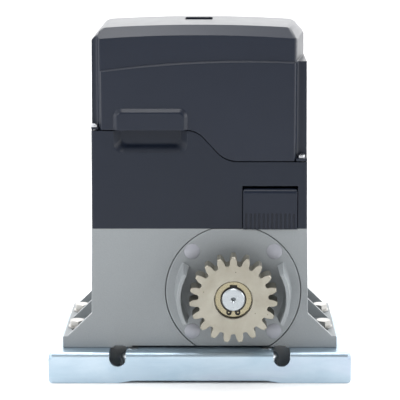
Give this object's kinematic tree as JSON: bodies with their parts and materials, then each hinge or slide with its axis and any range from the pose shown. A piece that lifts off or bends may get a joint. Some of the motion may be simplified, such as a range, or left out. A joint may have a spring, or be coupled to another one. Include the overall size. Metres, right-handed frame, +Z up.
{
  "type": "sliding gate motor",
  "caption": "Upright sliding-gate operator with a rack pinion, worm gearbox, vertical motor, lift-off cover and release door.",
  "frame": {"origin": "on the slab, under the centre of the machine's overall box", "axes": "X to the right seen from the pinion side, along the gate; Y towards the back, away from the gate; Z up"},
  "size_m": [0.289, 0.159, 0.3396],
  "materials": {
    "foundation_plate": "bright zinc-plated folded sheet",
    "levelling_feet": "zinc-plated",
    "levelling_studs": "zinc-plated",
    "gearcase": "fine textured grey paint on a casting",
    "gearbox_cover": "fine textured grey paint on a casting",
    "screw_caps": "smooth grey plastic",
    "cover_bolts": "zinc-plated",
    "shaft_seal": "black rubber",
    "pinion": "machined steel with a thin oil film",
    "output_shaft": "ground steel",
    "pinion_key": "bright steel",
    "clutch_keys": "bright steel",
    "pinion_washer": "yellow-passivated zinc",
    "pinion_circlip": "phosphated spring steel",
    "shaft_bearing_outer_races": "ground bearing steel",
    "shaft_bearing_inner_races": "ground bearing steel",
    "shaft_bearing_balls": "ground bearing steel",
    "motor_bearing_outer_races": "ground bearing steel",
    "motor_bearing_inner_races": "ground bearing steel",
    "motor_bearing_balls": "ground bearing steel",
    "worm_wheel_rim": "bronze",
    "worm_wheel_hub": "machined iron",
    "wheel_bush": "bronze",
    "shaft_spacer": "turned steel",
    "clutch_sleeve": "turned steel",
    "worm_shaft": "ground steel",
    "rotor_shaft": "ground steel",
    "rotor_core": "laminations with cast end rings",
    "stator_core": "laminations",
    "stator_windings": "varnished copper",
    "motor_can": "drawn can",
    "motor_flange": "die-cast",
    "motor_end_bell": "die-cast",
    "cooling_fan": "moulded",
    "motor_screws": "zinc-plated",
    "lower_housing": "fine-grained dark slate plastic",
    "housing_screws": "zinc-plated",
    "top_cover": "fine-grained dark slate plastic",
    "roof_pad": "plain dark insert",
    "cover_screws": "bright pan-head screws",
    "release_door": "satin dark plastic",
    "release_knob": "moulded",
    "release_spindle": "turned steel",
    "spindle_brackets": "zinc-plated sheet",
    "shift_fork": "sintered iron",
    "board_carrier": "moulded",
    "control_board": "solder-masked board",
    "board_screws": "zinc-plated",
    "terminal_blocks": "moulded",
    "relays": "moulded",
    "board_components": "moulded and sleeved",
    "transformer_shelf": "zinc-plated sheet",
    "transformer_core": "laminations",
    "transformer_coil": "taped winding",
    "run_capacitor": "moulded can",
    "capacitor_clip": "spring steel",
    "magnetic_sensor": "potted box",
    "foot_bolts": "zinc-plated",
    "foot_washers": "zinc-plated",
    "weld_nuts": "zinc-plated"
  },
  "bodies": {
    "base": {"foundation_plate": "foundation_plate", "levelling_feet": "levelling_feet", "levelling_studs": "levelling_studs", "gearcase": "gearcase", "gearbox_cover": "gearbox_cover", "screw_caps": "screw_caps", "cover_bolts": "cover_bolts", "shaft_seal": "shaft_seal", "shaft_bearing_outer_races": "shaft_bearing_outer_races", "shaft_bearing_balls": "shaft_bearing_balls", "motor_bearing_outer_races": "motor_bearing_outer_races", "motor_bearing_balls": "motor_bearing_balls", "stator_core": "stator_core", "stator_windings": "stator_windings", "motor_can": "motor_can", "motor_flange": "motor_flange", "motor_end_bell": "motor_end_bell", "motor_screws": "motor_screws", "lower_housing": "lower_housing", "housing_screws": "housing_screws", "spindle_brackets": "spindle_brackets", "board_carrier": "board_carrier", "control_board": "control_board", "board_screws": "board_screws", "terminal_blocks": "terminal_blocks", "relays": "relays", "board_components": "board_components", "transformer_shelf": "transformer_shelf", "transformer_core": "transformer_core", "transformer_coil": "transformer_coil", "run_capacitor": "run_capacitor", "capacitor_clip": "capacitor_clip", "magnetic_sensor": "magnetic_sensor", "foot_bolts": "foot_bolts", "foot_washers": "foot_washers", "weld_nuts": "weld_nuts"},
    "output": {"output_shaft": "output_shaft", "pinion": "pinion", "pinion_key": "pinion_key", "clutch_keys": "clutch_keys", "pinion_washer": "pinion_washer", "pinion_circlip": "pinion_circlip", "shaft_bearing_inner_races": "shaft_bearing_inner_races", "shaft_spacer": "shaft_spacer"},
    "wheel": {"worm_wheel_rim": "worm_wheel_rim", "worm_wheel_hub": "worm_wheel_hub", "wheel_bush": "wheel_bush"},
    "worm": {"worm_shaft": "worm_shaft", "rotor_shaft": "rotor_shaft", "rotor_core": "rotor_core", "motor_bearing_inner_races": "motor_bearing_inner_races", "cooling_fan": "cooling_fan"},
    "sleeve": {"clutch_sleeve": "clutch_sleeve"},
    "fork": {"shift_fork": "shift_fork"},
    "release": {"release_knob": "release_knob", "release_spindle": "release_spindle"},
    "door": {"release_door": "release_door"},
    "cover": {"top_cover": "top_cover", "roof_pad": "roof_pad", "cover_screws": "cover_screws"}
  },
  "joints": [
    {"name": "worm_spin", "type": "hinge", "parent": "base", "child": "worm", "pos_m": [-0.028, 0.0145, 0.0861], "axis": [0, 0, 1], "continuous": true},
    {"name": "wheel_spin", "type": "hinge", "parent": "base", "child": "wheel", "pos_m": [0.032, 0.0145, 0.0861], "axis": [0, 1, 0], "continuous": true},
    {"name": "output_spin", "type": "hinge", "parent": "base", "child": "output", "pos_m": [0.032, 0.0145, 0.0861], "axis": [0, 1, 0], "continuous": true},
    {"name": "release_turn", "type": "hinge", "parent": "base", "child": "release", "pos_m": [0.067, -0.0065, 0.1661], "axis": [0, 1, 0], "range_deg": [0, 90]},
    {"name": "fork_shift", "type": "slide", "parent": "base", "child": "fork", "axis": [0, 1, 0], "range_m": [0, 0.005]},
    {"name": "sleeve_shift", "type": "slide", "parent": "output", "child": "sleeve", "axis": [0, 1, 0], "range_m": [0, 0.005]},
    {"name": "door_swing", "type": "hinge", "parent": "base", "child": "door", "pos_m": [0.067, -0.0435, 0.1817], "axis": [-1, 0, 0], "range_deg": [0, 90]},
    {"name": "cover_lift", "type": "slide", "parent": "base", "child": "cover", "axis": [0, 0, 1], "range_m": [0, 0.14]}
  ],
  "couplings": [
    {"joint": "wheel_spin", "follows": "worm_spin", "ratio": -0.033333},
    {"joint": "output_spin", "follows": "worm_spin", "ratio": -0.033333},
    {"joint": "fork_shift", "follows": "release_turn", "m_per_rad": 0.0031831},
    {"joint": "sleeve_shift", "follows": "release_turn", "m_per_rad": 0.0031831}
  ]
}
